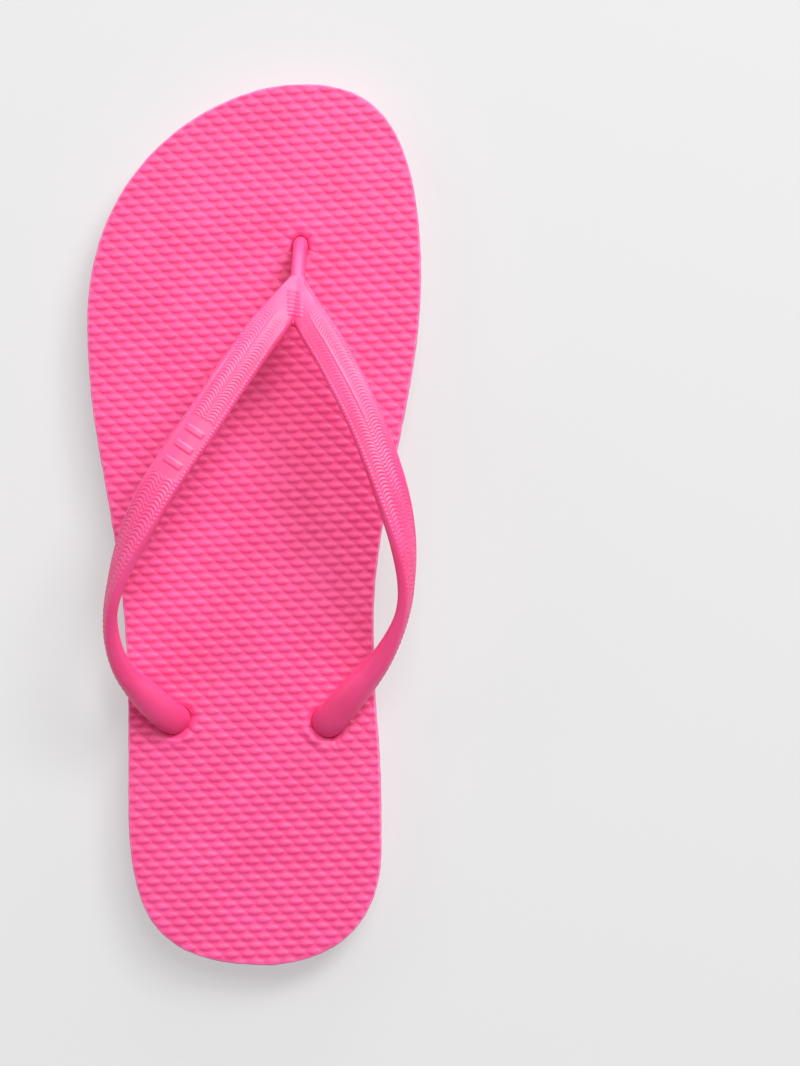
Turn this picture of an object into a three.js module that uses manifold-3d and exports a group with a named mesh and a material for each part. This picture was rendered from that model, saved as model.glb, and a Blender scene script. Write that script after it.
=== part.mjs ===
// Flip flop for the left foot: a die-cut foam sole and a soft moulded strap
// whose three plugs button into holes in the sole.
// Millimetres. +Z is up, +Y points to the toe and +X to the big-toe side.
// The origin is on the ground under the middle of the sole.

import * as THREE from 'three';
import { mergeVertices } from 'three/addons/utils/BufferGeometryUtils.js';
import Module from 'manifold-3d';

const wasm = await Module();
wasm.setup();

// ---- Driving dimensions ----------------------------------------------------

const GAP = 0.3; // between pieces that touch or are one moulding on the real shoe

const HALF_LENGTH = 127.5;
const SOLE_THICKNESS = 14;
const FLEX_Y = 51; // the sole bends here, under the ball of the foot

// Outline anchors, clockwise from the toe. Each has a place, the heading of the
// edge there, and the reach of the curve's handles before and after it.
const OUTLINE = [
  { at: [13.3, HALF_LENGTH], heading: [1, 0], before: 20.7, after: 16.4 }, // toe tip
  { at: [48.3, 71.5], heading: [0, -1], before: 51.9, after: 32.6 }, // ball, big-toe side
  { at: [34.5, -28], heading: [0, -1], before: 31.6, after: 33.3 }, // arch
  { at: [36.8, -94], heading: [0, -1], before: 40.9, after: 31.6 }, // heel, big-toe side
  { at: [3.6, -HALF_LENGTH], heading: [-1, 0], before: 6, after: 43.2 }, // heel tip
  { at: [-36.4, -56], heading: [0, 1], before: 45.8, after: 54.4 }, // heel, little-toe side
  { at: [-48.3, 58], heading: [0, 1], before: 38.2, after: 50.4 }, // ball, little-toe side
];

const TOE_HOLE = { x: 13.4, y: 80.4 };
const LATERAL_HOLE = { x: -22.3, y: -56.7 };
const MEDIAL_HOLE = { x: 20.7, y: -57.8 };

const TOE_NECK_RADIUS = 2.6;
const REAR_NECK_RADIUS = 3.6;
const DISC_RADIUS = 9.5;
const DISC_THICKNESS = 3;
const DISC_BASE_Z = 0.8; // the discs sit up inside their recesses, off the ground

const STRAP_GAUGE = 3.4; // thickness of the free band
const STRAP_WIDTH = 10.4;
const YOKE_END_Y = 48; // behind this line the two arms are separate
const POST_PIVOT_RISE = 3.5; // height over the footbed of the bend in the toe post
const POST_WIDTH = 4.3;
const POST_DEPTH = 6.2;

// Stations along the middle of each band, from the toe post to the rear hole:
// [x, y, rise over the footbed, tilt in degrees, width, thickness].
// A positive tilt turns the -X edge down; the rear end rounds off into a stem.
const LATERAL_ARM = [
  [12.97, 67.9, 16.9, 0, 4.4, 7.2],
  [12.55, 65.9, 18.5, 0, 5.9, 7],
  [10.9, 62.8, 20.9, 0, 7.9, 6.5],
  [8.4, 59, 23.5, 0, 9.6, 5.8],
  [5.1, 55.4, 25.8, 0, 10.3, 4.9],
  [1.6, 50.5, 28, 1, STRAP_WIDTH, 4.2],
  [-6.3, 40, 30.4, 3, STRAP_WIDTH, STRAP_GAUGE],
  [-12.8, 30, 31.5, 5, STRAP_WIDTH, STRAP_GAUGE],
  [-19.6, 20, 32.1, 8, STRAP_WIDTH, STRAP_GAUGE],
  [-26, 10, 32, 17, STRAP_WIDTH, STRAP_GAUGE],
  [-31.4, 0, 30.4, 35, STRAP_WIDTH, STRAP_GAUGE],
  [-36, -10, 27.1, 57, STRAP_WIDTH, STRAP_GAUGE],
  [-39.2, -20, 22.8, 77, STRAP_WIDTH, STRAP_GAUGE],
  [-40.1, -29.5, 18.1, 88, 9.8, 3.8],
  [-38.9, -37, 14.5, 91, 8.7, 4.7],
  [-36.2, -43, 11.6, 92, 7.6, 6.3],
  [-32.4, -47.6, 9.2, 92, 6.8, 8.2],
  [-28.5, -51.5, 6.9, 91, 6, 9.1],
  [-24.8, -55, 4, 90, 5.8, 9],
  [LATERAL_HOLE.x, LATERAL_HOLE.y, -0.6, 90, 6.6, 8.6],
];
const MEDIAL_ARM = [
  [12.97, 67.9, 16.9, 0, 4.4, 7.2],
  [13.4, 65.9, 18.5, 0, 5.4, 7],
  [14.6, 61.8, 21.6, 0, 7.8, 6.3],
  [16.8, 57.6, 24.4, 0, 9.6, 5.4],
  [19.5, 53.2, 26.5, 0, 10.3, 4.6],
  [22.1, 49.5, 27.8, -1, STRAP_WIDTH, 4.1],
  [27.3, 40, 29.9, -4, STRAP_WIDTH, STRAP_GAUGE],
  [32.1, 30, 30.4, -8, STRAP_WIDTH, STRAP_GAUGE],
  [36.1, 20, 30, -15, STRAP_WIDTH, STRAP_GAUGE],
  [39.5, 10, 28.7, -27, STRAP_WIDTH, STRAP_GAUGE],
  [42.2, 0, 26.1, -46, STRAP_WIDTH, STRAP_GAUGE],
  [43.8, -10, 22.6, -65, STRAP_WIDTH, STRAP_GAUGE],
  [43.8, -20, 18.5, -82, STRAP_WIDTH, STRAP_GAUGE],
  [41.4, -29.5, 14.5, -91, 9.8, 4],
  [38.3, -36, 12, -93, 8.8, 5.4],
  [34.8, -41.4, 10, -93, 7.9, 7],
  [31.2, -45.8, 8.4, -92, 7.1, 8.3],
  [27.7, -49.8, 6.8, -91, 6.2, 9],
  [24.2, -54, 4.3, -90, 5.8, 9.2],
  [MEDIAL_HOLE.x, MEDIAL_HOLE.y, -0.6, -90, 6.6, 8.8],
];
const TOE_POST = [
  [13, 69.4, 15.4, 0, POST_WIDTH, POST_DEPTH],
  [13.1, 72.9, 12.1, 0, POST_WIDTH, POST_DEPTH],
  [13.2, 75.9, 9, 0, POST_WIDTH, POST_DEPTH],
  [13.3, 78.4, 6, 0, POST_WIDTH, POST_DEPTH],
  [TOE_HOLE.x, TOE_HOLE.y, POST_PIVOT_RISE, 0, POST_WIDTH, POST_DEPTH],
];

const BAND_STEPS = 44;
const POST_STEPS = 14;
const RING_POINTS = 16;
const ROUND_SEGMENTS = 32;
const FAR = 400; // larger than the shoe, for blocks that cut it

const SOLE_MATERIAL = { color: '#f2588f', roughness: 0.85, metalness: 0 };
const STRAP_MATERIAL = { color: '#ef3c78', roughness: 0.45, metalness: 0 };

// ---- Helpers ---------------------------------------------------------------

// A manifold solid from a closed geometry.
function solid(geometry) {
  const bare = geometry.clone();
  bare.deleteAttribute('normal');
  bare.deleteAttribute('uv');
  const merged = mergeVertices(bare, 1e-4);
  return new wasm.Manifold(
    new wasm.Mesh({
      numProp: 3,
      vertProperties: new Float32Array(merged.attributes.position.array),
      triVerts: new Uint32Array(merged.index.array),
    }),
  );
}

// A three.js geometry from a manifold solid.
function geometryOf(manifold) {
  const mesh = manifold.getMesh();
  const geometry = new THREE.BufferGeometry();
  geometry.setAttribute('position', new THREE.BufferAttribute(mesh.vertProperties, 3));
  geometry.setIndex(new THREE.BufferAttribute(mesh.triVerts, 1));
  geometry.computeVertexNormals();
  return geometry;
}

// A large block that fills one side of a plane across Y or Z.
function halfSpace(axis, from, direction) {
  const centre = from + (direction * FAR) / 2;
  const block = new THREE.BoxGeometry(FAR, FAR, FAR);
  block.translate(0, axis === 'y' ? centre : 0, axis === 'z' ? centre : 0);
  return solid(block);
}

// A solid of revolution about a vertical line, from its [radius, z] profile.
function turned(profile, { x, y }) {
  const points = profile.map(([radius, z]) => new THREE.Vector2(radius, z));
  const geometry = new THREE.LatheGeometry(points, ROUND_SEGMENTS);
  geometry.rotateX(Math.PI / 2);
  geometry.translate(x, y, 0);
  return solid(geometry);
}

// One closed skin over a row of rings that have the same number of points.
function loft(rings) {
  const count = rings[0].length;
  const last = (rings.length - 1) * count;
  const index = [];
  for (let row = 0; row < last; row += count) {
    for (let i = 0; i < count; i += 1) {
      const a = row + i;
      const b = row + ((i + 1) % count);
      index.push(a, a + count, b);
      index.push(b, a + count, b + count);
    }
  }
  for (let i = 1; i < count - 1; i += 1) {
    index.push(0, i, i + 1);
    index.push(last, last + i + 1, last + i);
  }
  const geometry = new THREE.BufferGeometry().setFromPoints(rings.flat());
  geometry.setIndex(index);
  return geometry;
}

// A band along its stations. Its section is a superellipse that is nearly a
// rectangle where the band is thin and nearly round where it is a stem.
function band(stations, steps) {
  const path = new THREE.CatmullRomCurve3(
    stations.map(([x, y, rise]) => new THREE.Vector3(x, y, SOLE_THICKNESS + rise)),
  );
  const form = new THREE.CatmullRomCurve3(
    stations.map(([, , , tilt, width, thickness]) => new THREE.Vector3(tilt, width, thickness)),
  );
  const up = new THREE.Vector3(0, 0, 1);
  const rings = [];
  for (let step = 0; step <= steps; step += 1) {
    const centre = path.getPoint(step / steps);
    const heading = path.getTangent(step / steps);
    const { x: tilt, y: width, z: thickness } = form.getPoint(step / steps);
    const across = new THREE.Vector3().crossVectors(heading, up).normalize();
    across.applyAxisAngle(heading, -THREE.MathUtils.degToRad(tilt));
    const face = new THREE.Vector3().crossVectors(across, heading).normalize();
    const power = 2 / (2 + 4 * Math.max(0, 1 - thickness / width));
    const ring = [];
    for (let i = 0; i < RING_POINTS; i += 1) {
      const angle = (2 * Math.PI * (i + 0.5)) / RING_POINTS;
      const u = Math.sign(Math.cos(angle)) * Math.abs(Math.cos(angle)) ** power;
      const v = Math.sign(Math.sin(angle)) * Math.abs(Math.sin(angle)) ** power;
      ring.push(
        centre.clone().addScaledVector(across, (u * width) / 2).addScaledVector(face, (v * thickness) / 2),
      );
    }
    rings.push(ring);
  }
  return solid(loft(rings));
}

// ---- Sole ------------------------------------------------------------------

function soleOutline() {
  const shape = new THREE.Shape();
  shape.moveTo(...OUTLINE[0].at);
  OUTLINE.forEach((from, i) => {
    const to = OUTLINE[(i + 1) % OUTLINE.length];
    shape.bezierCurveTo(
      from.at[0] + from.heading[0] * from.after,
      from.at[1] + from.heading[1] * from.after,
      to.at[0] - to.heading[0] * to.before,
      to.at[1] - to.heading[1] * to.before,
      ...to.at,
    );
  });
  return shape;
}

// The hole and disc recess that a plug buttons into.
function plugSeat(hole, neckRadius) {
  const recessTop = DISC_BASE_Z + DISC_THICKNESS + GAP;
  const neck = neckRadius + GAP;
  const recess = DISC_RADIUS + GAP;
  return turned(
    [[0, -1], [recess, -1], [recess, recessTop], [neck, recessTop], [neck, SOLE_THICKNESS + 1], [0, SOLE_THICKNESS + 1]],
    hole,
  );
}

function soleBlank() {
  const geometry = new THREE.ExtrudeGeometry(soleOutline(), {
    depth: SOLE_THICKNESS,
    bevelEnabled: false,
    curveSegments: 26,
  });
  return solid(geometry)
    .subtract(plugSeat(TOE_HOLE, TOE_NECK_RADIUS))
    .subtract(plugSeat(LATERAL_HOLE, REAR_NECK_RADIUS))
    .subtract(plugSeat(MEDIAL_HOLE, REAR_NECK_RADIUS));
}

// ---- Strap -----------------------------------------------------------------

// The disc under the sole with a softened rim, and the neck up to the footbed.
function plug(hole, neckRadius) {
  const rim = 1;
  const top = DISC_BASE_Z + DISC_THICKNESS;
  return turned(
    [
      [0, DISC_BASE_Z],
      [DISC_RADIUS - rim, DISC_BASE_Z],
      [DISC_RADIUS, DISC_BASE_Z + rim],
      [DISC_RADIUS, top - rim / 2],
      [DISC_RADIUS - rim, top],
      [neckRadius, top],
      [neckRadius, SOLE_THICKNESS],
      [0, SOLE_THICKNESS],
    ],
    hole,
  );
}

// The post bends about a rounded foot that clears the footbed at any angle.
function toePost() {
  const footRadius = POST_PIVOT_RISE - GAP;
  const foot = new THREE.CylinderGeometry(footRadius, footRadius, POST_WIDTH, ROUND_SEGMENTS);
  foot.rotateZ(Math.PI / 2);
  foot.translate(TOE_HOLE.x, TOE_HOLE.y, SOLE_THICKNESS + POST_PIVOT_RISE);
  return band(TOE_POST, POST_STEPS).add(solid(foot));
}

// ---- Assembly --------------------------------------------------------------

function part(name, manifold, material) {
  const mesh = new THREE.Mesh(geometryOf(manifold), new THREE.MeshStandardMaterial(material));
  mesh.name = name;
  return mesh;
}

function soleParts() {
  const blank = soleBlank();
  const behindFlex = halfSpace('y', FLEX_Y - GAP / 2, -1);
  const aheadOfFlex = halfSpace('y', FLEX_Y + GAP / 2, 1);
  return [
    part('sole_rear', blank.intersect(behindFlex), SOLE_MATERIAL),
    part('sole_forefoot', blank.intersect(aheadOfFlex), SOLE_MATERIAL),
  ];
}

function strapParts() {
  const overFootbed = halfSpace('z', SOLE_THICKNESS + GAP, 1);
  const behindYoke = halfSpace('y', YOKE_END_Y - GAP / 2, -1);
  const yokeSide = halfSpace('y', YOKE_END_Y + GAP / 2, 1);
  const lateral = band(LATERAL_ARM, BAND_STEPS).intersect(overFootbed);
  const medial = band(MEDIAL_ARM, BAND_STEPS).intersect(overFootbed);
  return [
    part('strap_yoke', lateral.add(medial).intersect(yokeSide), STRAP_MATERIAL),
    part('strap_arm_lateral', lateral.intersect(behindYoke), STRAP_MATERIAL),
    part('strap_arm_medial', medial.intersect(behindYoke), STRAP_MATERIAL),
    part('toe_post', toePost(), STRAP_MATERIAL),
    part('toe_plug', plug(TOE_HOLE, TOE_NECK_RADIUS), STRAP_MATERIAL),
    part('rear_plug_lateral', plug(LATERAL_HOLE, REAR_NECK_RADIUS), STRAP_MATERIAL),
    part('rear_plug_medial', plug(MEDIAL_HOLE, REAR_NECK_RADIUS), STRAP_MATERIAL),
  ];
}

const flipFlop = new THREE.Group();
flipFlop.add(...soleParts(), ...strapParts());

export default flipFlop;
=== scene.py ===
"""A left-foot flip flop: a foam sole with an embossed footbed, and a soft moulded
strap whose plugs button into the sole. Lengths are in millimetres until a mesh is
made; +Z is up, +Y points to the toe and +X to the big-toe side."""

import math

import bmesh
import bpy
import numpy as np
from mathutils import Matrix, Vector
from mathutils.geometry import delaunay_2d_cdt


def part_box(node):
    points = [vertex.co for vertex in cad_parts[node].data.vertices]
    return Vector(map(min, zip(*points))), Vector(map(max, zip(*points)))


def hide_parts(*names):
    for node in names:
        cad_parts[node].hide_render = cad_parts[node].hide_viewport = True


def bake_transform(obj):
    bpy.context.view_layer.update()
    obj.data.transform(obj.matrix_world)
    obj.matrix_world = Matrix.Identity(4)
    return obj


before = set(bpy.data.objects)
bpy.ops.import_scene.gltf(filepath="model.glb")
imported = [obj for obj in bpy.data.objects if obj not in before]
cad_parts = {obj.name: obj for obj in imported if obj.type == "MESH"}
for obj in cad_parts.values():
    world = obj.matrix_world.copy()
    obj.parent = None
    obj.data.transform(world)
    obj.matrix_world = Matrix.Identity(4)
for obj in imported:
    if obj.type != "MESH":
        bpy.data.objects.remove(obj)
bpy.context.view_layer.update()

MM = 0.001
rng = np.random.default_rng(7)

# ---- Sizes -----------------------------------------------------------------

SOLE_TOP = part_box("sole_rear")[1].z / MM
HALF_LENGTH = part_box("sole_forefoot")[1].y / MM

# Outline anchors, clockwise from the toe: place, heading, and the reach of the
# curve's handles before and after the anchor.
OUTLINE = [
    ((13.3, HALF_LENGTH), (1, 0), 20.7, 16.4),
    ((48.3, 71.5), (0, -1), 51.9, 32.6),
    ((34.5, -28), (0, -1), 31.6, 33.3),
    ((36.8, -94), (0, -1), 40.9, 31.6),
    ((3.6, -HALF_LENGTH), (-1, 0), 6, 43.2),
    ((-36.4, -56), (0, 1), 45.8, 54.4),
    ((-48.3, 58), (0, 1), 38.2, 50.4),
]
WALL_STEP = 0.6  # between points round the outline
WALL_ROWS = 24
RIM_RADIUS = 0.5
RIM_TURNS = [math.radians(turn) for turn in (30, 60, 90)]
FOOTBED_SWAY = 0.12
WALL_BULGES = ((0.05, 9), (0.04, 3.5))  # height and wavelength
FOOTBED_DROP = 0.3  # the footbed between grains lies this far under the sole's top

GRAIN_PITCH = 4.84
ROW_PITCH = 2.44
GRAIN_LENGTH = 3.8
GRAIN_WIDTH = 1.95
GRAIN_HEIGHT = 0.33
ROW_SLOPE = 0.056  # rise of a row per millimetre across, and how it grows to the toe
ROW_FAN = 0.00014
ROW_SHEAR = 0.045
GRID_ACROSS = GRAIN_PITCH / 12
GRID_ALONG = ROW_PITCH / 8
TREAD_PITCH = 3.6
TREAD_SLANT = 0.6
TREAD_DEPTH = 0.35
TREAD_GRID = 0.8

TOE_HOLE = (13.4, 80.4)
LATERAL_HOLE = (-22.3, -56.7)
MEDIAL_HOLE = (20.7, -57.8)
PLUG_CENTRES = (TOE_HOLE, LATERAL_HOLE, MEDIAL_HOLE)
RECESS_RADIUS = 9.8
RECESS_TOP = 4.1
DISC_RADIUS = 9.5
DISC_BASE = 0.8
DISC_TOP = 3.8
REAR_NECK_RADIUS = 3.2
TOE_NECK_RADIUS = 2.0
NECK_TOP = SOLE_TOP - 3.2

# Stations along the middle of each band, from the toe post back to the hole:
# x, y, rise over the footbed, tilt in degrees, width, thickness.
LATERAL_ARM = [
    (12.6, 68.2, 16.4, 4, 5.2, 7.2),
    (11.9, 66.6, 17.9, 8, 6.3, 6.9),
    (10.7, 64.2, 19.8, 12, 7.9, 6.4),
    (8.4, 60.5, 22.5, 12, 9.5, 5.7),
    (5.6, 56.9, 24.8, 10, 10.3, 5),
    (2.7, 53.1, 26.9, 7, 10.4, 4.4),
    (-1.9, 46.4, 29, 4, 10.4, 3.8),
    (-6.3, 40, 30.4, 3, 10.4, 3.4),
    (-12.8, 30, 31.5, 5, 10.4, 3.4),
    (-19.6, 20, 32.1, 8, 10.4, 3.4),
    (-26, 10, 32, 17, 10.4, 3.4),
    (-31.4, 0, 30.4, 35, 10.4, 3.4),
    (-36, -10, 27.1, 57, 10.4, 3.4),
    (-39.2, -20, 22.8, 77, 10.4, 3.4),
    (-40.1, -29.5, 18.1, 88, 9.8, 3.8),
    (-38.9, -37, 14.5, 91, 8.7, 4.7),
    (-36.2, -43, 11.6, 92, 7.6, 6.3),
    (-32.4, -47.6, 9.2, 92, 6.8, 8.2),
    (-28.5, -51.5, 6.9, 91, 6, 9.1),
    (-24.8, -55, 4, 90, 5.8, 9),
    (*LATERAL_HOLE, -0.6, 90, 6.6, 8.6),
    (-21.9, -57.1, -4, 90, 6.4, 7.4),
]
MEDIAL_ARM = [
    (13.1, 68.2, 16.4, -4, 4.8, 7.2),
    (13.5, 66.6, 17.9, -4, 5.8, 6.9),
    (14.3, 64.3, 19.8, -5, 7.2, 6.4),
    (16.2, 59.5, 23.2, -5, 9.2, 5.6),
    (18.6, 55.3, 25.6, -3, 10.2, 4.8),
    (20.9, 51.7, 27.1, -2, 10.4, 4.3),
    (24.8, 44.8, 29, -2, 10.4, 3.7),
    (27.3, 40, 29.9, -4, 10.4, 3.4),
    (32.1, 30, 30.4, -8, 10.4, 3.4),
    (36.1, 20, 30, -15, 10.4, 3.4),
    (39.5, 10, 28.7, -27, 10.4, 3.4),
    (42.2, 0, 26.1, -46, 10.4, 3.4),
    (43.8, -10, 22.6, -65, 10.4, 3.4),
    (43.8, -20, 18.5, -82, 10.4, 3.4),
    (41.4, -29.5, 14.5, -91, 9.8, 4),
    (38.3, -36, 12, -93, 8.8, 5.4),
    (34.8, -41.4, 10, -93, 7.9, 7),
    (31.2, -45.8, 8.4, -92, 7.1, 8.3),
    (27.7, -49.8, 6.8, -91, 6.2, 9),
    (24.2, -54, 4.3, -90, 5.8, 9.2),
    (*MEDIAL_HOLE, -0.6, -90, 6.6, 8.8),
    (20.4, -58.2, -4, -90, 6.4, 7.4),
]
CROTCH_WEB = [
    (12.8, 66, 17.8, 0, 4.6, 5),
    (12.6, 62, 20.9, 0, 6.4, 5),
    (12.4, 59.6, 22.5, 0, 6.6, 4.6),
    (12.3, 58, 23.4, 0, 5.4, 4),
    (12.2, 57, 24, 0, 4, 3),
    (12.15, 56.4, 24.3, 0, 2.6, 2.2),
]
TOE_POST = [
    (12.97, 67.2, 17.4, 0, 3.6, 4.4),
    (13.0, 69, 15.8, 0, 4.1, 5.8),
    (13.05, 72.9, 12.1, 0, 4.1, 6.1),
    (13.2, 75.9, 9, 0, 4.1, 6.2),
    (13.3, 78.4, 5.6, 0, 4.2, 6.2),
    (13.4, 80.0, 1.6, 0, 4.4, 6.2),
    (*TOE_HOLE, -4.0, 0, 4.4, 6.0),
]

RIM_WIDTH = 1.15  # smooth border along each edge of the strap
FIELD_DEPTH = 0.22  # of the sunken field between the borders
CROWN = 0.7  # rise of the middle of an arm above its edges
ARC_PITCH_FRONT = 1.0
ARC_PITCH_REAR = 1.85
ARC_HEIGHT = 0.22
COLUMN_GAP = 0.25  # from the middle line to a column of arcs, and from there to the border
LINE_HALF_WIDTH = 0.2  # the line along the middle of an arm
LINE_HEIGHT = 0.42
DASH_HEIGHT = 0.36  # the line breaks into dashes behind its solid stretch
BEAD_HEIGHT = 0.13  # the row along an arm's inner edge
TICK_HEIGHT = 0.14  # the slanting marks along its outer edge
PANEL = (59.5, 9.5, 3.6)  # smooth window: place along the arm, half length, half width
PANEL_BARS = 3
BAR_HEIGHT = 0.28
RIDGE_PITCH = 1.13
RIDGE_HEIGHT = 0.42
RIDGE_CENTRE = (12.4, 62.8)
RIDGE_HALF_WIDTH = 2.0
RIDGE_HALF_LENGTH = 3.8

# Places along an arm, from the toe post, between which a mark fades in. A pair in
# falling order fades out.
FIELD_IN = (0, 3)
TICKS_IN = (3, 6)
PATTERN_IN = (8, 17)
LINE_IN = (12, 16)
BEADS_IN = (12, 20)
INNER_BORDER_IN = (13, 17)
SQUARE_FRONT_OUT = (26, 12)
TICKS_OUT = (38, 24)
LINE_OUT = (52, 42)
# Distances from an arm's rear end over which the whole pattern dies away.
REAR_FAINT = (26, 44)
REAR_PLAIN = (15, 26)

TEXTURED_STEP = 0.17  # between sections of an arm where it is patterned
SMOOTH_STEP = 0.5
SMOOTH_REAR = 12  # length of the stem that has no pattern

# ---- Numeric helpers ---------------------------------------------------------


def smooth(low, high, value):
    """0 below low, 1 above high, and a smooth rise between."""
    t = np.clip((value - low) / (high - low), 0, 1)
    return t * t * (3 - 2 * t)


def ripple(dimensions, wavelength, waves=9):
    """A seeded function of points: gentle unevenness between about -1 and 1."""
    direction = rng.normal(size=(waves, dimensions))
    direction /= np.linalg.norm(direction, axis=1)[:, None]
    rate = rng.uniform(0.6, 1.6, (waves, 1)) / wavelength
    phase = rng.uniform(size=waves)

    def height(points):
        turns = points @ (direction * rate).T + phase
        return np.sin(2 * math.pi * turns).sum(axis=1) / math.sqrt(waves)

    return height


def lengths_along(points):
    """Distance along a path at each of its points."""
    return np.concatenate([[0], np.cumsum(np.linalg.norm(np.diff(points, axis=0), axis=1))])


def spline(stations, at):
    """A natural cubic through the stations, at places from 0 to 1 along their chords."""
    stations = np.asarray(stations, float)
    knots = lengths_along(stations[:, :3])
    knots /= knots[-1]
    count = len(stations)
    gap = np.diff(knots)[:, None]
    slope = np.diff(stations, axis=0) / gap
    system = np.eye(count)
    target = np.zeros_like(stations)
    for i in range(1, count - 1):
        system[i, i - 1 : i + 2] = gap[i - 1, 0], 2 * (gap[i - 1, 0] + gap[i, 0]), gap[i, 0]
        target[i] = 6 * (slope[i] - slope[i - 1])
    bend = np.linalg.solve(system, target)
    i = np.clip(np.searchsorted(knots, at, side="right") - 1, 0, count - 2)
    b = ((at - knots[i]) / gap[i, 0])[:, None]
    a = 1 - b
    cubic = (a**3 - a) * bend[i] + (b**3 - b) * bend[i + 1]
    return a * stations[i] + b * stations[i + 1] + cubic * gap[i] ** 2 / 6


def make_object(name, points, faces, materials):
    """A smooth-shaded mesh object from points in millimetres."""
    mesh = bpy.data.meshes.new(name)
    mesh.from_pydata((np.asarray(points) * MM).tolist(), [], faces)
    mesh.shade_smooth()
    for material in materials:
        mesh.materials.append(material)
    obj = bpy.data.objects.new(name, mesh)
    bpy.context.scene.collection.objects.link(obj)
    return obj


def apply_modifiers(obj):
    """Bakes an object's modifiers into its mesh."""
    depsgraph = bpy.context.evaluated_depsgraph_get()
    mesh = bpy.data.meshes.new_from_object(obj.evaluated_get(depsgraph))
    obj.modifiers.clear()
    obj.data = mesh


def ring_faces(first, second, count):
    """Quads between two closed rings of count points that start at the given indices."""
    return [
        (first + i, first + (i + 1) % count, second + (i + 1) % count, second + i)
        for i in range(count)
    ]


# ---- Sole --------------------------------------------------------------------


def sole_outline():
    """The outline as evenly spaced points, clockwise from above."""
    t = np.linspace(0, 1, 200, endpoint=False)[:, None]
    pieces = []
    for i, (start, heading, _, after) in enumerate(OUTLINE):
        end, end_heading, before, _ = OUTLINE[(i + 1) % len(OUTLINE)]
        start, end = np.array(start), np.array(end)
        first = start + np.array(heading) * after
        second = end - np.array(end_heading) * before
        ends = (1 - t) ** 3 * start + t**3 * end
        pieces.append(ends + 3 * (1 - t) ** 2 * t * first + 3 * (1 - t) * t**2 * second)
    dense = np.vstack(pieces)
    closed = np.vstack([dense, dense[:1]])
    along = lengths_along(closed)
    at = np.linspace(0, along[-1], round(along[-1] / WALL_STEP), endpoint=False)
    return np.column_stack([np.interp(at, along, closed[:, 0]), np.interp(at, along, closed[:, 1])])


def outward(ring):
    """Unit outward normals of a clockwise ring."""
    tangent = np.roll(ring, -1, axis=0) - np.roll(ring, 1, axis=0)
    tangent /= np.linalg.norm(tangent, axis=1)[:, None]
    return np.column_stack([-tangent[:, 1], tangent[:, 0]])


def inside(ring, x, y):
    """Which points lie inside a ring that each line across the shoe meets twice."""
    top, bottom = ring[:, 1].argmax(), ring[:, 1].argmin()
    right = ring[top : bottom + 1] if top < bottom else np.vstack([ring[top:], ring[: bottom + 1]])
    left = ring[bottom : top + 1] if bottom < top else np.vstack([ring[bottom:], ring[: top + 1]])
    x_right = np.interp(-y, -right[:, 1], right[:, 0])
    x_left = np.interp(y, left[:, 1], left[:, 0])
    return (x > x_left) & (x < x_right) & (y < ring[top, 1]) & (y > ring[bottom, 1])


def ellipse(centre, across, along, heading=0.0, count=56):
    """A ring of points from its half widths; heading turns it clockwise from +Y."""
    angle = np.linspace(0, 2 * math.pi, count, endpoint=False)
    x, y = across * np.sin(angle), along * np.cos(angle)
    c, s = math.cos(heading), math.sin(heading)
    return np.column_stack([centre[0] + c * x + s * y, centre[1] - s * x + c * y])


# The oval holes in the footbed, and how the foam is drawn round each: a dip at its
# edge, creases that run away from it and two swellings beside it. Creases and
# swellings are angles from +X round the hole; a swelling has its height too.
HOLES = [
    {
        "centre": (13.4, 80.5),
        "across": 2.45,
        "along": 3.3,
        "heading": 0.0,
        "dip": 0.35,
        "dip_reach": 0.5,
        "creases": (2.54, 0.74, 3.6, 5.9),
        "swellings": ((2.2, 0.12), (0.9, 0.1)),
    },
    {
        "centre": LATERAL_HOLE,
        "across": 3.6,
        "along": 4.6,
        "heading": 0.77,
        "dip": 0.5,
        "dip_reach": 0.8,
        "creases": (0.24, -0.63, 2.6),
        "swellings": ((-1.5, 0.6), (-0.2, 0.1)),
    },
    {
        "centre": MEDIAL_HOLE,
        "across": 3.6,
        "along": 4.7,
        "heading": 2.33,
        "dip": 0.5,
        "dip_reach": 0.8,
        "creases": (-1.1, -2.9, 0.4),
        "swellings": ((-2.3, 0.75), (-0.9, 0.1)),
    },
]
CREASE_DEPTH = 0.5
CREASE_HALF_WIDTH = 0.45
CREASE_REACH = 1.8
SWELLING_OFFSET = 2.3  # of its top from the hole's edge
SWELLING_REACH = 1.5
SWELLING_SPREAD = 0.8  # radians round the hole


def hole_distance(hole, x, y):
    """Distance from a hole's edge, roughly, and the angle round it."""
    dx, dy = x - hole["centre"][0], y - hole["centre"][1]
    c, s = math.cos(hole["heading"]), math.sin(hole["heading"])
    u, v = c * dx - s * dy, s * dx + c * dy
    scale = np.hypot(u / hole["across"], v / hole["along"])
    return (scale - 1) * 0.5 * (hole["across"] + hole["along"]), np.arctan2(dy, dx)


def grain(x, y):
    """The embossed grains at points of the footbed, from 0 between them to 1 on top."""
    row_place = (y - ROW_SLOPE * x) / (1 + ROW_FAN * x)
    row = np.round(row_place / ROW_PITCH)
    along = (x + ROW_SHEAR * y) / GRAIN_PITCH + 0.5 * (row % 2)
    a = (along - np.round(along)) * 2 * GRAIN_PITCH / GRAIN_LENGTH
    half_width = np.maximum(1 - np.abs(a) ** 2.2, 0) ** 0.55
    b = (row_place - row * ROW_PITCH) * 2 / GRAIN_WIDTH / np.maximum(half_width, 1e-3)
    cushion = half_width**0.5 * np.maximum(1 - np.abs(b) ** 2.4, 0) ** 0.8
    return np.where((np.abs(a) < 1) & (np.abs(b) < 1), cushion, 0)


def angle_between(first, second):
    """The smaller angle from one direction to another."""
    return np.abs((first - second + math.pi) % (2 * math.pi) - math.pi)


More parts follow.
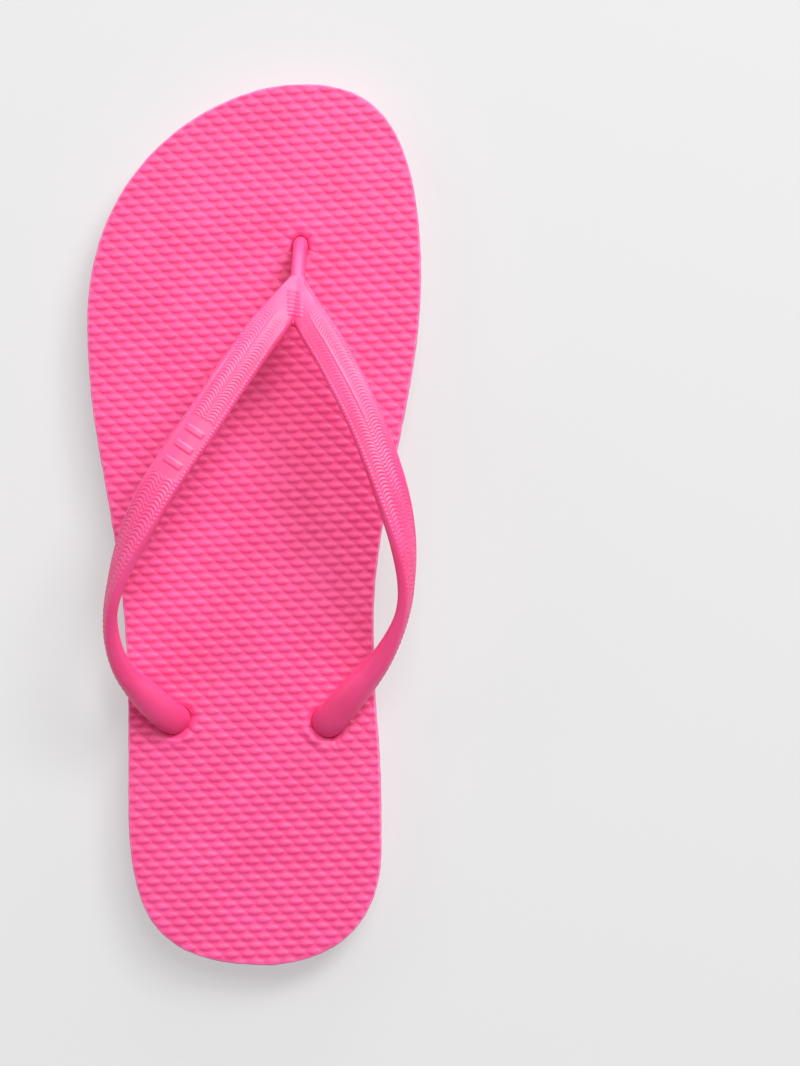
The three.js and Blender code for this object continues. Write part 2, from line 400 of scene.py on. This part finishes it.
def puckers(x, y):
    """How the foam is drawn down, creased and swollen round the three holes."""
    height = np.zeros_like(x)
    for hole in HOLES:
        distance, angle = hole_distance(hole, x, y)
        distance = np.maximum(distance, 0)
        height -= hole["dip"] * np.exp(-((distance / hole["dip_reach"]) ** 2))
        for crease in hole["creases"]:
            aside = angle_between(angle, crease) * (distance + 3)
            fade = np.exp(-distance / CREASE_REACH)
            height -= CREASE_DEPTH * np.exp(-((aside / CREASE_HALF_WIDTH) ** 2)) * fade
        for direction, swelling in hole["swellings"]:
            turn = angle_between(angle, direction) / SWELLING_SPREAD
            away = (distance - SWELLING_OFFSET) / SWELLING_REACH
            height += swelling * np.exp(-(turn**2)) * np.exp(-(away**2))
    return height


footbed_sway = ripple(2, 60)


def footbed_height(x, y):
    """Height of the footbed with its grains, puckers and a gentle sway."""
    from_hole = np.min([hole_distance(hole, x, y)[0] for hole in HOLES], axis=0)
    grains = GRAIN_HEIGHT * (0.25 + 0.75 * smooth(0.3, 3.0, from_hole)) * grain(x, y)
    sway = FOOTBED_SWAY * footbed_sway(np.column_stack([x, y])) * smooth(0, 4, from_hole)
    return SOLE_TOP - FOOTBED_DROP + grains + puckers(x, y) + sway


def tread(x, y):
    """Height of the outsole: a fine lattice of shallow grooves between flat lozenges."""
    a = np.abs(((x + y * TREAD_SLANT) / TREAD_PITCH) % 1 - 0.5)
    b = np.abs(((x - y * TREAD_SLANT) / TREAD_PITCH) % 1 - 0.5)
    return TREAD_DEPTH * np.maximum(smooth(0.34, 0.48, a), smooth(0.34, 0.48, b))


def grid_points(step_across, step_along):
    """Sample points over the sole on a grid that follows the rows of grains."""
    u = np.arange(-70, 70, step_across)
    v = np.arange(-HALF_LENGTH - 4, HALF_LENGTH + 4, step_along)
    u, v = np.meshgrid(u, v)
    slope = ROW_SLOPE + ROW_FAN * v
    y = (v + u * slope) / (1 + ROW_SHEAR * slope)
    return (u - ROW_SHEAR * y).ravel(), y.ravel()


def triangulate(outline, holes, x, y):
    """Triangles over the outline less the holes, through the given inner points."""
    rings = [outline, *holes]
    points = np.vstack([*rings, np.column_stack([x, y])])
    edges = []
    start = 0
    for ring in rings:
        edges += [(start + i, start + (i + 1) % len(ring)) for i in range(len(ring))]
        start += len(ring)
    vectors = [Vector(p) for p in points.tolist()]
    flat, _, faces, *_ = delaunay_2d_cdt(vectors, edges, [], 0, 1e-6)
    flat = np.array([p[:] for p in flat])
    faces = np.array(faces)
    centre = flat[faces].mean(axis=1)
    keep = inside(outline, centre[:, 0], centre[:, 1])
    for ring in holes:
        middle = ring.mean(axis=0)
        rim = ring - middle
        rim_angle = np.arctan2(rim[:, 1], rim[:, 0])
        order = rim_angle.argsort()
        offset = centre - middle
        angle = np.arctan2(offset[:, 1], offset[:, 0])
        radius = np.interp(angle, rim_angle[order], np.hypot(*rim.T)[order], period=2 * math.pi)
        keep &= np.hypot(*offset.T) > radius * 0.999
    return flat, faces[keep]


def footbed_part(outline, normal, hole_rings):
    """The grained top, less the three holes."""
    edge_margin, hole_margin = 0.25, 0.2
    x, y = grid_points(GRID_ACROSS, GRID_ALONG)
    keep = inside(outline - normal * (RIM_RADIUS + edge_margin), x, y)
    for hole in HOLES:
        keep &= hole_distance(hole, x, y)[0] > hole_margin
    top, faces = triangulate(outline - normal * RIM_RADIUS, hole_rings, x[keep], y[keep])
    return np.column_stack([top, footbed_height(*top.T)]), faces.tolist()


def wall_part(outline, normal):
    """The cut wall with its two rounded rims, from the footbed down to the outsole."""
    count = len(outline)
    top_ring = outline - normal * RIM_RADIUS
    top_z = footbed_height(*top_ring.T)
    rows = [np.column_stack([top_ring, top_z])]
    for turn in RIM_TURNS:
        inset = RIM_RADIUS * (1 - math.sin(turn))
        drop = RIM_RADIUS * (1 - math.cos(turn))
        rows.append(np.column_stack([outline - normal * inset, top_z - drop]))
    for level in np.linspace(SOLE_TOP - FOOTBED_DROP - RIM_RADIUS, RIM_RADIUS, WALL_ROWS)[1:]:
        rows.append(np.column_stack([outline, np.full(count, level)]))
    for turn in RIM_TURNS:
        inset = RIM_RADIUS * (1 - math.cos(turn))
        drop = RIM_RADIUS * math.sin(turn)
        rows.append(np.column_stack([outline - normal * inset, np.full(count, RIM_RADIUS - drop)]))
    rows[-1][:, 2] = tread(*rows[-1][:, :2].T)
    wall = np.vstack(rows)
    place = wall * (1, 1, 2.2)  # so that the bulges run longer round the wall than up it
    bulge = sum(size * ripple(3, wavelength)(place) for size, wavelength in WALL_BULGES)
    fade = [0, 0.3] + [1] * (len(rows) - 4) + [0.3, 0]  # nothing moves where other parts join
    bulge *= np.repeat(fade, count)
    wall[:, :2] += np.tile(normal, (len(rows), 1)) * bulge[:, None]
    faces = []
    for row in range(len(rows) - 1):
        faces += ring_faces((row + 1) * count, row * count, count)
    return wall, faces


def outsole_part(outline, normal, recess_rings):
    """The treaded underside, less the three recesses."""
    edge_margin, recess_margin = 0.5, 0.4
    x, y = grid_points(TREAD_GRID, TREAD_GRID)
    keep = inside(outline - normal * (RIM_RADIUS + edge_margin), x, y)
    for centre in PLUG_CENTRES:
        keep &= np.hypot(x - centre[0], y - centre[1]) > RECESS_RADIUS + recess_margin
    under, faces = triangulate(outline - normal * RIM_RADIUS, recess_rings, x[keep], y[keep])
    return np.column_stack([under, tread(*under.T)]), faces[:, ::-1].tolist()


def sleeve_part(ring, levels, sizes, goes_up):
    """A blind hole from a ring: its heights, its size at each, and a flat end."""
    count = len(ring)
    middle = ring.mean(axis=0)
    points = []
    for level, size in zip(levels, sizes):
        points.append(np.column_stack([middle + (ring - middle) * size, level]))
    faces = []
    for row in range(len(levels) - 1):
        low, high = row * count, (row + 1) * count
        faces += ring_faces(low, high, count) if goes_up else ring_faces(high, low, count)
    end = range((len(levels) - 1) * count, len(levels) * count)
    faces.append(tuple(end) if goes_up else tuple(reversed(end)))
    return np.vstack(points), faces


def hole_part(ring):
    """The upper end of a hole, drawn in a little below the footbed."""
    top = footbed_height(*ring.T)
    levels = [top, top - 0.6, top - 1.6, np.full(len(ring), SOLE_TOP - 5)]
    return sleeve_part(ring, levels, [1, 0.94, 0.9, 0.88], goes_up=False)


def recess_part(ring):
    """The recess in the outsole that takes a plug's disc."""
    bottom = tread(*ring.T)
    near_top = np.full(len(ring), RECESS_TOP - 0.3)
    levels = [bottom, bottom + 0.4, near_top, np.full(len(ring), RECESS_TOP)]
    return sleeve_part(ring, levels, [1, 0.985, 0.985, 0.96], goes_up=True)


def build_sole(materials):
    """One closed skin. The materials are the footbed's, the wall's and the outsole's."""
    outline = sole_outline()
    normal = outward(outline)
    hole_rings = [ellipse(h["centre"], h["across"], h["along"], h["heading"]) for h in HOLES]
    recess_rings = [ellipse(c, RECESS_RADIUS, RECESS_RADIUS, count=96) for c in PLUG_CENTRES]
    parts = [
        (footbed_part(outline, normal, hole_rings), 0),
        (wall_part(outline, normal), 1),
        (outsole_part(outline, normal, recess_rings), 2),
    ]
    parts += [(hole_part(ring), 0) for ring in hole_rings]
    parts += [(recess_part(ring), 2) for ring in recess_rings]
    points, faces, slots = [], [], []
    total = 0
    for (part_points, part_faces), slot in parts:
        points.append(part_points)
        faces += [tuple(total + i for i in face) for face in part_faces]
        slots += [slot] * len(part_faces)
        total += len(part_points)
    sole = make_object("sole", np.vstack(points), faces, materials)
    sole.data.polygons.foreach_set("material_index", slots)
    weld(sole, 0.004)
    return sole


def weld(obj, distance):
    """Joins points that lie together and turns every face outwards."""
    editable = bmesh.new()
    editable.from_mesh(obj.data)
    bmesh.ops.remove_doubles(editable, verts=editable.verts, dist=distance * MM)
    bmesh.ops.recalc_face_normals(editable, faces=editable.faces)
    editable.to_mesh(obj.data)
    editable.free()


# ---- Strap -------------------------------------------------------------------


def band_frames(stations, at):
    """Centre, directions and section size of a band at places along it."""
    form = spline(stations, at)
    centre = form[:, :3] + [0, 0, SOLE_TOP]
    heading = np.gradient(centre, at, axis=0)
    heading /= np.linalg.norm(heading, axis=1)[:, None]
    level = np.cross(heading, [0, 0, 1])
    level /= np.linalg.norm(level, axis=1)[:, None]
    up = np.cross(level, heading)
    tilt = np.radians(form[:, 3])[:, None]
    across = level * np.cos(tilt) - up * np.sin(tilt)
    face = level * np.sin(tilt) + up * np.cos(tilt)
    return centre, across, face, form[:, 4], form[:, 5]


def band_length(stations):
    """Length of the straight chords between a band's stations."""
    return lengths_along(np.array([station[:3] for station in stations]))[-1]


def band_places(length, texture_until):
    """Places along a band: close together where it is textured."""
    fine = np.arange(0, texture_until, TEXTURED_STEP / length)
    coarse = np.linspace(texture_until, 1, round((1 - texture_until) * length / SMOOTH_STEP))
    return np.concatenate([fine, coarse])


def section(thickness, width, along, counts, front_power):
    """Places round a band's section from -1 to 1: across, up, and the side faced.
    The section is nearly a rectangle where the band is thin and nearly round where it
    is a stem; points crowd together towards its edges."""
    top_count, under_count = counts
    spread = np.linspace(-1, 1, top_count)
    top_u = np.sign(spread) * (1 - (1 - np.abs(spread)) ** 1.35)
    spread = np.linspace(1, -1, under_count + 2)[1:-1]
    under_u = np.sign(spread) * (1 - (1 - np.abs(spread)) ** 1.6)
    u = np.concatenate([top_u, under_u])
    side = np.concatenate([np.ones(top_count), -np.ones(under_count)])
    flatness = np.clip(1 - thickness / width, 0, 1)
    front = 2 + (front_power - 2) * smooth(*SQUARE_FRONT_OUT, along)
    power = np.maximum(2 + 4 * flatness, front)[:, None]
    v = side * (1 - np.abs(u) ** power) ** (1 / power)
    crown = CROWN * np.clip(1.5 * flatness, 0, 1)[:, None] * (1 - np.hypot(u, 0.12))
    return u, v, side, np.where(side > 0, crown * np.clip(v, 0, 1), 0)


def build_band(name, stations, at, counts, relief, material, front_power=2):
    """A closed band. relief gives the height added to its upper face, and a
    front_power over 2 squares the front end's section. counts are the points across
    the upper and the under side."""
    centre, across, face, width, thickness = band_frames(stations, at)
    along = lengths_along(centre)
    u, v, side, crown = section(thickness, width, along, counts, front_power)
    x = u * width[:, None] / 2
    z = v * thickness[:, None] / 2 + crown
    points = centre[:, None] + across[:, None] * x[..., None] + face[:, None] * z[..., None]
    added = relief(points, along[:, None], x, width[:, None])
    added = added * (side > 0) * np.clip(v, 0, 1)
    points += face[:, None] * added[..., None]
    rings, count = points.shape[:2]
    faces = []
    for ring in range(rings - 1):
        faces += ring_faces(ring * count, (ring + 1) * count, count)
    faces.append(tuple(range(count))[::-1])
    faces.append(tuple(range((rings - 1) * count, rings * count)))
    return make_object(name, points.reshape(-1, 3), faces, [material])


def plain(points, along, x, width):
    """No relief."""
    return np.zeros(points.shape[:2])


def arc_phase(along):
    """Turns of the arc pattern counted along an arm; the arcs widen to the rear."""
    grid = np.arange(-5, 160, 0.5)
    pitch = ARC_PITCH_FRONT + (ARC_PITCH_REAR - ARC_PITCH_FRONT) * smooth(40, 150, grid)
    return np.interp(along, grid, np.cumsum(0.5 / pitch))


def arcs(along, offset, half):
    """One column of shell-like arcs, convex towards the toe."""
    q = np.clip(offset / half, -1, 1)
    turns = arc_phase(along - 0.75 * half * q**2)
    crest = (0.5 + 0.5 * np.cos(2 * math.pi * turns)) ** 0.9
    return ARC_HEIGHT * crest * (1 - np.abs(q) ** 6)


def fan_ridges(points):
    """Short level ridges across the front of the yoke, and where they are."""
    x = points[..., 0] - RIDGE_CENTRE[0]
    y = points[..., 1] - RIDGE_CENTRE[1]
    patch = smooth(RIDGE_HALF_WIDTH + 0.3, RIDGE_HALF_WIDTH - 0.4, np.abs(x))
    patch = patch * smooth(RIDGE_HALF_LENGTH + 0.4, RIDGE_HALF_LENGTH, np.abs(y))
    sway = 0.12 * x + 0.1 * np.sin(x * 1.9)
    return patch * (0.5 + 0.5 * np.cos(2 * math.pi * (y + sway) / RIDGE_PITCH)), patch


def middle_line(along, x):
    """The line along the middle of an arm, solid in front and dashed behind."""
    solid = smooth(*LINE_OUT, along) * smooth(*LINE_IN, along)
    dashes = 0.5 + 0.5 * np.cos(2 * math.pi * arc_phase(along))
    height = LINE_HEIGHT * solid + DASH_HEIGHT * (1 - solid) * dashes
    return np.exp(-((x / LINE_HALF_WIDTH) ** 2)) * height


def inner_beads(along, edge):
    """A row of beads beside an edge."""
    row = np.exp(-(((edge - 0.8) / 0.35) ** 2)) * smooth(*BEADS_IN, along)
    return BEAD_HEIGHT * row * np.cos(2 * math.pi * arc_phase(along))


def outer_ticks(along, edge):
    """Short slanting marks across the border at an edge, near the front."""
    row = smooth(0.15, 0.4, edge) * smooth(1.7, 1.2, edge)
    row = row * smooth(*TICKS_IN, along) * smooth(*TICKS_OUT, along)
    return TICK_HEIGHT * row * np.cos(2 * math.pi * arc_phase(along + 0.8 * edge))


def panel_bars(along, x):
    """The plain bars in an arm's smooth window, and how fully the window applies."""
    centre, half_length, half_width = PANEL
    corner = 1.5
    gap = np.hypot(
        np.maximum(np.abs(along - centre) - half_length + corner, 0),
        np.maximum(np.abs(x) - half_width + corner, 0),
    )
    window = smooth(corner + 0.5, corner, gap)
    pitch = half_length * 0.56
    place = (along - centre) / pitch
    from_bar = np.abs(place - np.round(place)) * pitch
    bars = smooth(1.15, 0.6, from_bar) * smooth(half_width - 0.6, half_width - 1.0, np.abs(x))
    return BAR_HEIGHT * bars * (np.abs(place) < PANEL_BARS / 2), window


def arm_relief(outer_sign, length, has_panel):
    """Relief of an arm's face: a sunken field with two columns of arcs between smooth
    borders. outer_sign is the side of the section that is the shoe's outer edge."""

    def relief(points, along, x, width):
        outer = x * outer_sign
        edge = width / 2 - np.abs(x)
        to_end = length - along
        rear = smooth(*REAR_PLAIN, to_end) * (0.45 + 0.55 * smooth(*REAR_FAINT, to_end))
        field = smooth(RIM_WIDTH - 0.25, RIM_WIDTH + 0.15, edge)
        field = np.maximum(field, (outer < 0) * (1 - smooth(*INNER_BORDER_IN, along)))
        half = (width / 2 - RIM_WIDTH - COLUMN_GAP) / 2
        middle = half + COLUMN_GAP
        columns = arcs(along, outer - middle, half) * (outer > 0.2)
        columns = columns + arcs(along + 0.5, outer + middle, half) * (outer < -0.2)
        detail = (columns * field + middle_line(along, x)) * smooth(*PATTERN_IN, along) * rear
        detail = detail + inner_beads(along, edge) * (outer < 0) * rear
        detail = detail + outer_ticks(along, edge) * (outer > 0)
        if has_panel:
            bars, window = panel_bars(along, x)
            detail = detail * (1 - window) + window * bars
        ridges, patch = fan_ridges(points)
        detail = detail * (1 - patch) + RIDGE_HEIGHT * ridges
        return detail - FIELD_DEPTH * field * smooth(*FIELD_IN, along) * rear

    return relief


def web_relief(points, along, x, width):
    """The web in the crotch lies level with the arms' sunken field."""
    return RIDGE_HEIGHT * fan_ridges(points)[0] - FIELD_DEPTH


def turned(name, profile, centre, material, count=64):
    """A closed solid of revolution from its (radius, z) profile, axis points included."""
    angle = np.linspace(0, 2 * math.pi, count, endpoint=False)
    points = [(centre[0], centre[1], profile[0][1])]
    for radius, z in profile[1:-1]:
        x = centre[0] + radius * np.cos(angle)
        y = centre[1] + radius * np.sin(angle)
        points += [(*place, z) for place in zip(x, y)]
    points.append((centre[0], centre[1], profile[-1][1]))
    rows = len(profile) - 2
    faces = [(0, 1 + (i + 1) % count, 1 + i) for i in range(count)]
    for row in range(rows - 1):
        faces += ring_faces(1 + row * count, 1 + (row + 1) * count, count)
    last = 1 + (rows - 1) * count
    faces += [(last + i, last + (i + 1) % count, len(points) - 1) for i in range(count)]
    return make_object(name, points, faces, [material])


def plug_profile(neck_radius, neck_top):
    """Half section of a plug: a softened disc with a shallow dished face, and its neck."""
    rounding = 1.2
    profile = [(0, DISC_BASE + 0.5), (3.0, DISC_BASE + 0.5), (4.2, DISC_BASE + 0.25), (5.4, DISC_BASE)]
    profile.append((DISC_RADIUS - rounding, DISC_BASE))
    for turn in RIM_TURNS:
        inset = rounding * (1 - math.sin(turn))
        profile.append((DISC_RADIUS - inset, DISC_BASE + rounding * (1 - math.cos(turn))))
    profile += [(DISC_RADIUS, DISC_TOP - 0.8), (DISC_RADIUS - 0.3, DISC_TOP - 0.2)]
    profile += [(DISC_RADIUS - 1, DISC_TOP), (neck_radius + 1.5, DISC_TOP)]
    profile += [(neck_radius + 0.4, DISC_TOP + 0.4), (neck_radius, DISC_TOP + 1.5)]
    return [*profile, (neck_radius, neck_top), (0, neck_top)]


def union(obj, others):
    """Joins closed solids into obj as one skin."""
    for other in others:
        modifier = obj.modifiers.new("join", "BOOLEAN")
        modifier.operation = "UNION"
        modifier.solver = "MANIFOLD"
        modifier.object = other
    apply_modifiers(obj)
    for other in others:
        bpy.data.objects.remove(other)
    obj.data.shade_smooth()
    return obj


def build_strap(material):
    """Both arms with the web between them and the rear plugs, as one skin."""
    arms = []
    for name, stations, outer_sign, has_panel in (
        ("strap", LATERAL_ARM, 1, True),
        ("medial_arm", MEDIAL_ARM, -1, False),
    ):
        length = band_length(stations)
        at = band_places(length, 1 - SMOOTH_REAR / length)
        relief = arm_relief(outer_sign, length, has_panel)
        arms.append(build_band(name, stations, at, (52, 18), relief, material, front_power=4.2))
    web = build_band("web", CROTCH_WEB, np.linspace(0, 1, 70), (30, 10), web_relief, material)
    profile = plug_profile(REAR_NECK_RADIUS, NECK_TOP)
    plugs = [turned("plug", profile, hole, material) for hole in (LATERAL_HOLE, MEDIAL_HOLE)]
    return union(arms[0], [arms[1], web, *plugs])


def build_post(material):
    """The toe post with its plug, as one skin."""
    at = np.linspace(0, 1, 90)
    post = build_band("post", TOE_POST, at, (26, 22), plain, material, front_power=2.8)
    plug = turned("plug", plug_profile(TOE_NECK_RADIUS, NECK_TOP), TOE_HOLE, material)
    return union(post, [plug])


# ---- Materials ---------------------------------------------------------------


def pink(red, green, blue):
    """A linear colour from 0-255 display values."""
    values = [v / 255 for v in (red, green, blue)]
    linear = [v / 12.92 if v <= 0.04045 else ((v + 0.055) / 1.055) ** 2.4 for v in values]
    return (*linear, 1)


def new_material(name):
    """A node material with its nodes and links."""
    material = bpy.data.materials.new(name)
    material.use_nodes = True
    return material, material.node_tree.nodes, material.node_tree.links


def noise(nodes, links, coordinates, scale, detail, stretch=(1, 1, 1)):
    """A noise texture in object space; scale is in cycles per metre."""
    mapping = nodes.new("ShaderNodeMapping")
    mapping.inputs["Scale"].default_value = stretch
    links.new(coordinates.outputs["Object"], mapping.inputs["Vector"])
    texture = nodes.new("ShaderNodeTexNoise")
    texture.inputs["Scale"].default_value = scale
    texture.inputs["Detail"].default_value = detail
    links.new(mapping.outputs["Vector"], texture.inputs["Vector"])
    return texture


def ramp(nodes, links, source, stops):
    """A colour that runs between two stops over a 0-1 value."""
    node = nodes.new("ShaderNodeValToRGB")
    for element, (position, colour) in zip(node.color_ramp.elements, stops):
        element.position = position
        element.color = colour
    links.new(source, node.inputs["Fac"])
    return node


def bump(nodes, links, source, strength, distance, after=None):
    """Fine relief from a 0-1 value, on top of another bump if one is given."""
    node = nodes.new("ShaderNodeBump")
    node.inputs["Strength"].default_value = strength
    node.inputs["Distance"].default_value = distance
    links.new(source, node.inputs["Height"])
    if after is not None:
        links.new(after.outputs["Normal"], node.inputs["Normal"])
    return node


def grey(value):
    """A neutral colour."""
    return (value, value, value, 1)


def foam_material(
    name, dark, light, roughness, grain_scale, grain_depth, mottle_scale=90, streaks=None
):
    """Closed-cell rubber foam: mottled colour, fine skin grain and a soft inner glow.
    Depths are in metres and scales in cycles per metre; streaks are long upright marks."""
    material, nodes, links = new_material(name)
    shader = nodes["Principled BSDF"]
    coordinates = nodes.new("ShaderNodeTexCoord")
    mottle = noise(nodes, links, coordinates, mottle_scale, 4)
    colours = ramp(nodes, links, mottle.outputs["Fac"], [(0.32, dark), (0.68, light)])
    links.new(colours.outputs["Color"], shader.inputs["Base Color"])
    fine = noise(nodes, links, coordinates, grain_scale, 4)
    relief = bump(nodes, links, fine.outputs["Fac"], 0.6, grain_depth)
    if streaks is not None:
        lines = noise(nodes, links, coordinates, streaks, 5, stretch=(1, 1, 0.25))
        relief = bump(nodes, links, lines.outputs["Fac"], 0.5, grain_depth * 2.5, relief)
    links.new(relief.outputs["Normal"], shader.inputs["Normal"])
    stops = [(0.3, grey(roughness - 0.08)), (0.7, grey(roughness + 0.08))]
    gloss = ramp(nodes, links, fine.outputs["Fac"], stops)
    links.new(gloss.outputs["Color"], shader.inputs["Roughness"])
    shader.inputs["Specular IOR Level"].default_value = 0.8
    shader.inputs["Subsurface Weight"].default_value = 0.25
    shader.inputs["Subsurface Radius"].default_value = (1.0, 0.3, 0.5)
    shader.inputs["Subsurface Scale"].default_value = 0.0015
    return material


def strap_material():
    """Soft translucent rubber with a satin skin."""
    material, nodes, links = new_material("strap_rubber")
    shader = nodes["Principled BSDF"]
    coordinates = nodes.new("ShaderNodeTexCoord")
    mottle = noise(nodes, links, coordinates, 60, 3)
    stops = [(0.3, pink(243, 64, 134)), (0.7, pink(247, 78, 148))]
    colours = ramp(nodes, links, mottle.outputs["Fac"], stops)
    links.new(colours.outputs["Color"], shader.inputs["Base Color"])
    fine = noise(nodes, links, coordinates, 2600, 3)
    relief = bump(nodes, links, fine.outputs["Fac"], 0.35, 0.00004)
    links.new(relief.outputs["Normal"], shader.inputs["Normal"])
    gloss = ramp(nodes, links, fine.outputs["Fac"], [(0.3, grey(0.46)), (0.7, grey(0.54))])
    links.new(gloss.outputs["Color"], shader.inputs["Roughness"])
    shader.inputs["Specular IOR Level"].default_value = 1.0
    shader.inputs["Subsurface Weight"].default_value = 0.5
    shader.inputs["Subsurface Radius"].default_value = (1.0, 0.2, 0.3)
    shader.inputs["Subsurface Scale"].default_value = 0.003
    return material


# ---- Floor, light and camera ---------------------------------------------------


def build_stage():
    """A plain pale floor that glows a little, so that shadows stay soft and neutral."""
    reach = 3.0
    corners = [(-reach, -reach, 0), (reach, -reach, 0), (reach, reach, 0), (-reach, reach, 0)]
    mesh = bpy.data.meshes.new("floor")
    mesh.from_pydata(corners, [], [(0, 1, 2, 3)])
    floor = bpy.data.objects.new("floor", mesh)
    floor.location.z = -0.0002
    bpy.context.scene.collection.objects.link(floor)
    material, nodes, _ = new_material("floor_paper")
    shader = nodes["Principled BSDF"]
    shader.inputs["Base Color"].default_value = grey(0.3)
    shader.inputs["Emission Color"].default_value = grey(1)
    shader.inputs["Emission Strength"].default_value = 0.45
    shader.inputs["Roughness"].default_value = 0.9
    shader.inputs["Specular IOR Level"].default_value = 0.1
    mesh.materials.append(material)


def add_area_light(name, location, size, power):
    """A square light that faces the middle of the shoe."""
    data = bpy.data.lights.new(name, "AREA")
    data.shape = "SQUARE"
    data.size = size
    data.energy = power
    light = bpy.data.objects.new(name, data)
    light.location = location
    light.rotation_euler = (-Vector(location)).to_track_quat("-Z", "Y").to_euler()
    bpy.context.scene.collection.objects.link(light)


def build_lights():
    """A soft studio: two lights over the toe, a low one beyond it and a faint one aside."""
    world = bpy.data.worlds.new("studio")
    world.use_nodes = True
    background = world.node_tree.nodes["Background"]
    background.inputs["Color"].default_value = grey(1)
    background.inputs["Strength"].default_value = 0.22
    bpy.context.scene.world = world
    bpy.context.scene.view_settings.view_transform = "Standard"
    add_area_light("key", (0.9, 1.17, 1.48), size=0.7, power=26)
    add_area_light("fill", (0.3, 0.72, 1.7), size=0.8, power=18)
    add_area_light("low", (0.25, 1.8, 0.4), size=0.9, power=15)
    add_area_light("side", (-1.3, 0.7, 1.1), size=0.8, power=4)


def build_camera():
    """Straight above the middle of the picture, with the shoe to its left."""
    middle_of_picture = (0.04225, -0.00246)
    height = 1.252
    floor_in_view = 0.312  # along the picture's height
    camera = bpy.data.objects.new("camera", bpy.data.cameras.new("camera"))
    camera.data.sensor_width = 36
    camera.data.lens = 36 * height / floor_in_view
    camera.location = (*middle_of_picture, height)
    bpy.context.scene.collection.objects.link(camera)
    bpy.context.scene.camera = camera


# ---- Assembly ------------------------------------------------------------------

build_camera()
build_stage()
build_lights()

footbed_foam = foam_material(
    "footbed_foam",
    dark=pink(237, 58, 132),
    light=pink(243, 70, 143),
    roughness=0.58,
    grain_scale=1800,
    grain_depth=0.00005,
)
wall_foam = foam_material(
    "wall_foam",
    dark=pink(243, 104, 162),
    light=pink(247, 116, 172),
    roughness=0.85,
    grain_scale=1400,
    grain_depth=0.00012,
    mottle_scale=420,
    streaks=500,
)
outsole_foam = foam_material(
    "outsole_foam",
    dark=pink(230, 84, 146),
    light=pink(238, 98, 158),
    roughness=0.75,
    grain_scale=1600,
    grain_depth=0.00008,
)
strap_rubber = strap_material()

sole = build_sole([footbed_foam, wall_foam, outsole_foam])
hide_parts("sole_rear", "sole_forefoot")
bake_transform(sole)

strap = build_strap(strap_rubber)
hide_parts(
    "strap_yoke",
    "strap_arm_lateral",
    "strap_arm_medial",
    "rear_plug_lateral",
    "rear_plug_medial",
)
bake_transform(strap)

post = build_post(strap_rubber)
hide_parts("toe_post", "toe_plug")
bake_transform(post)
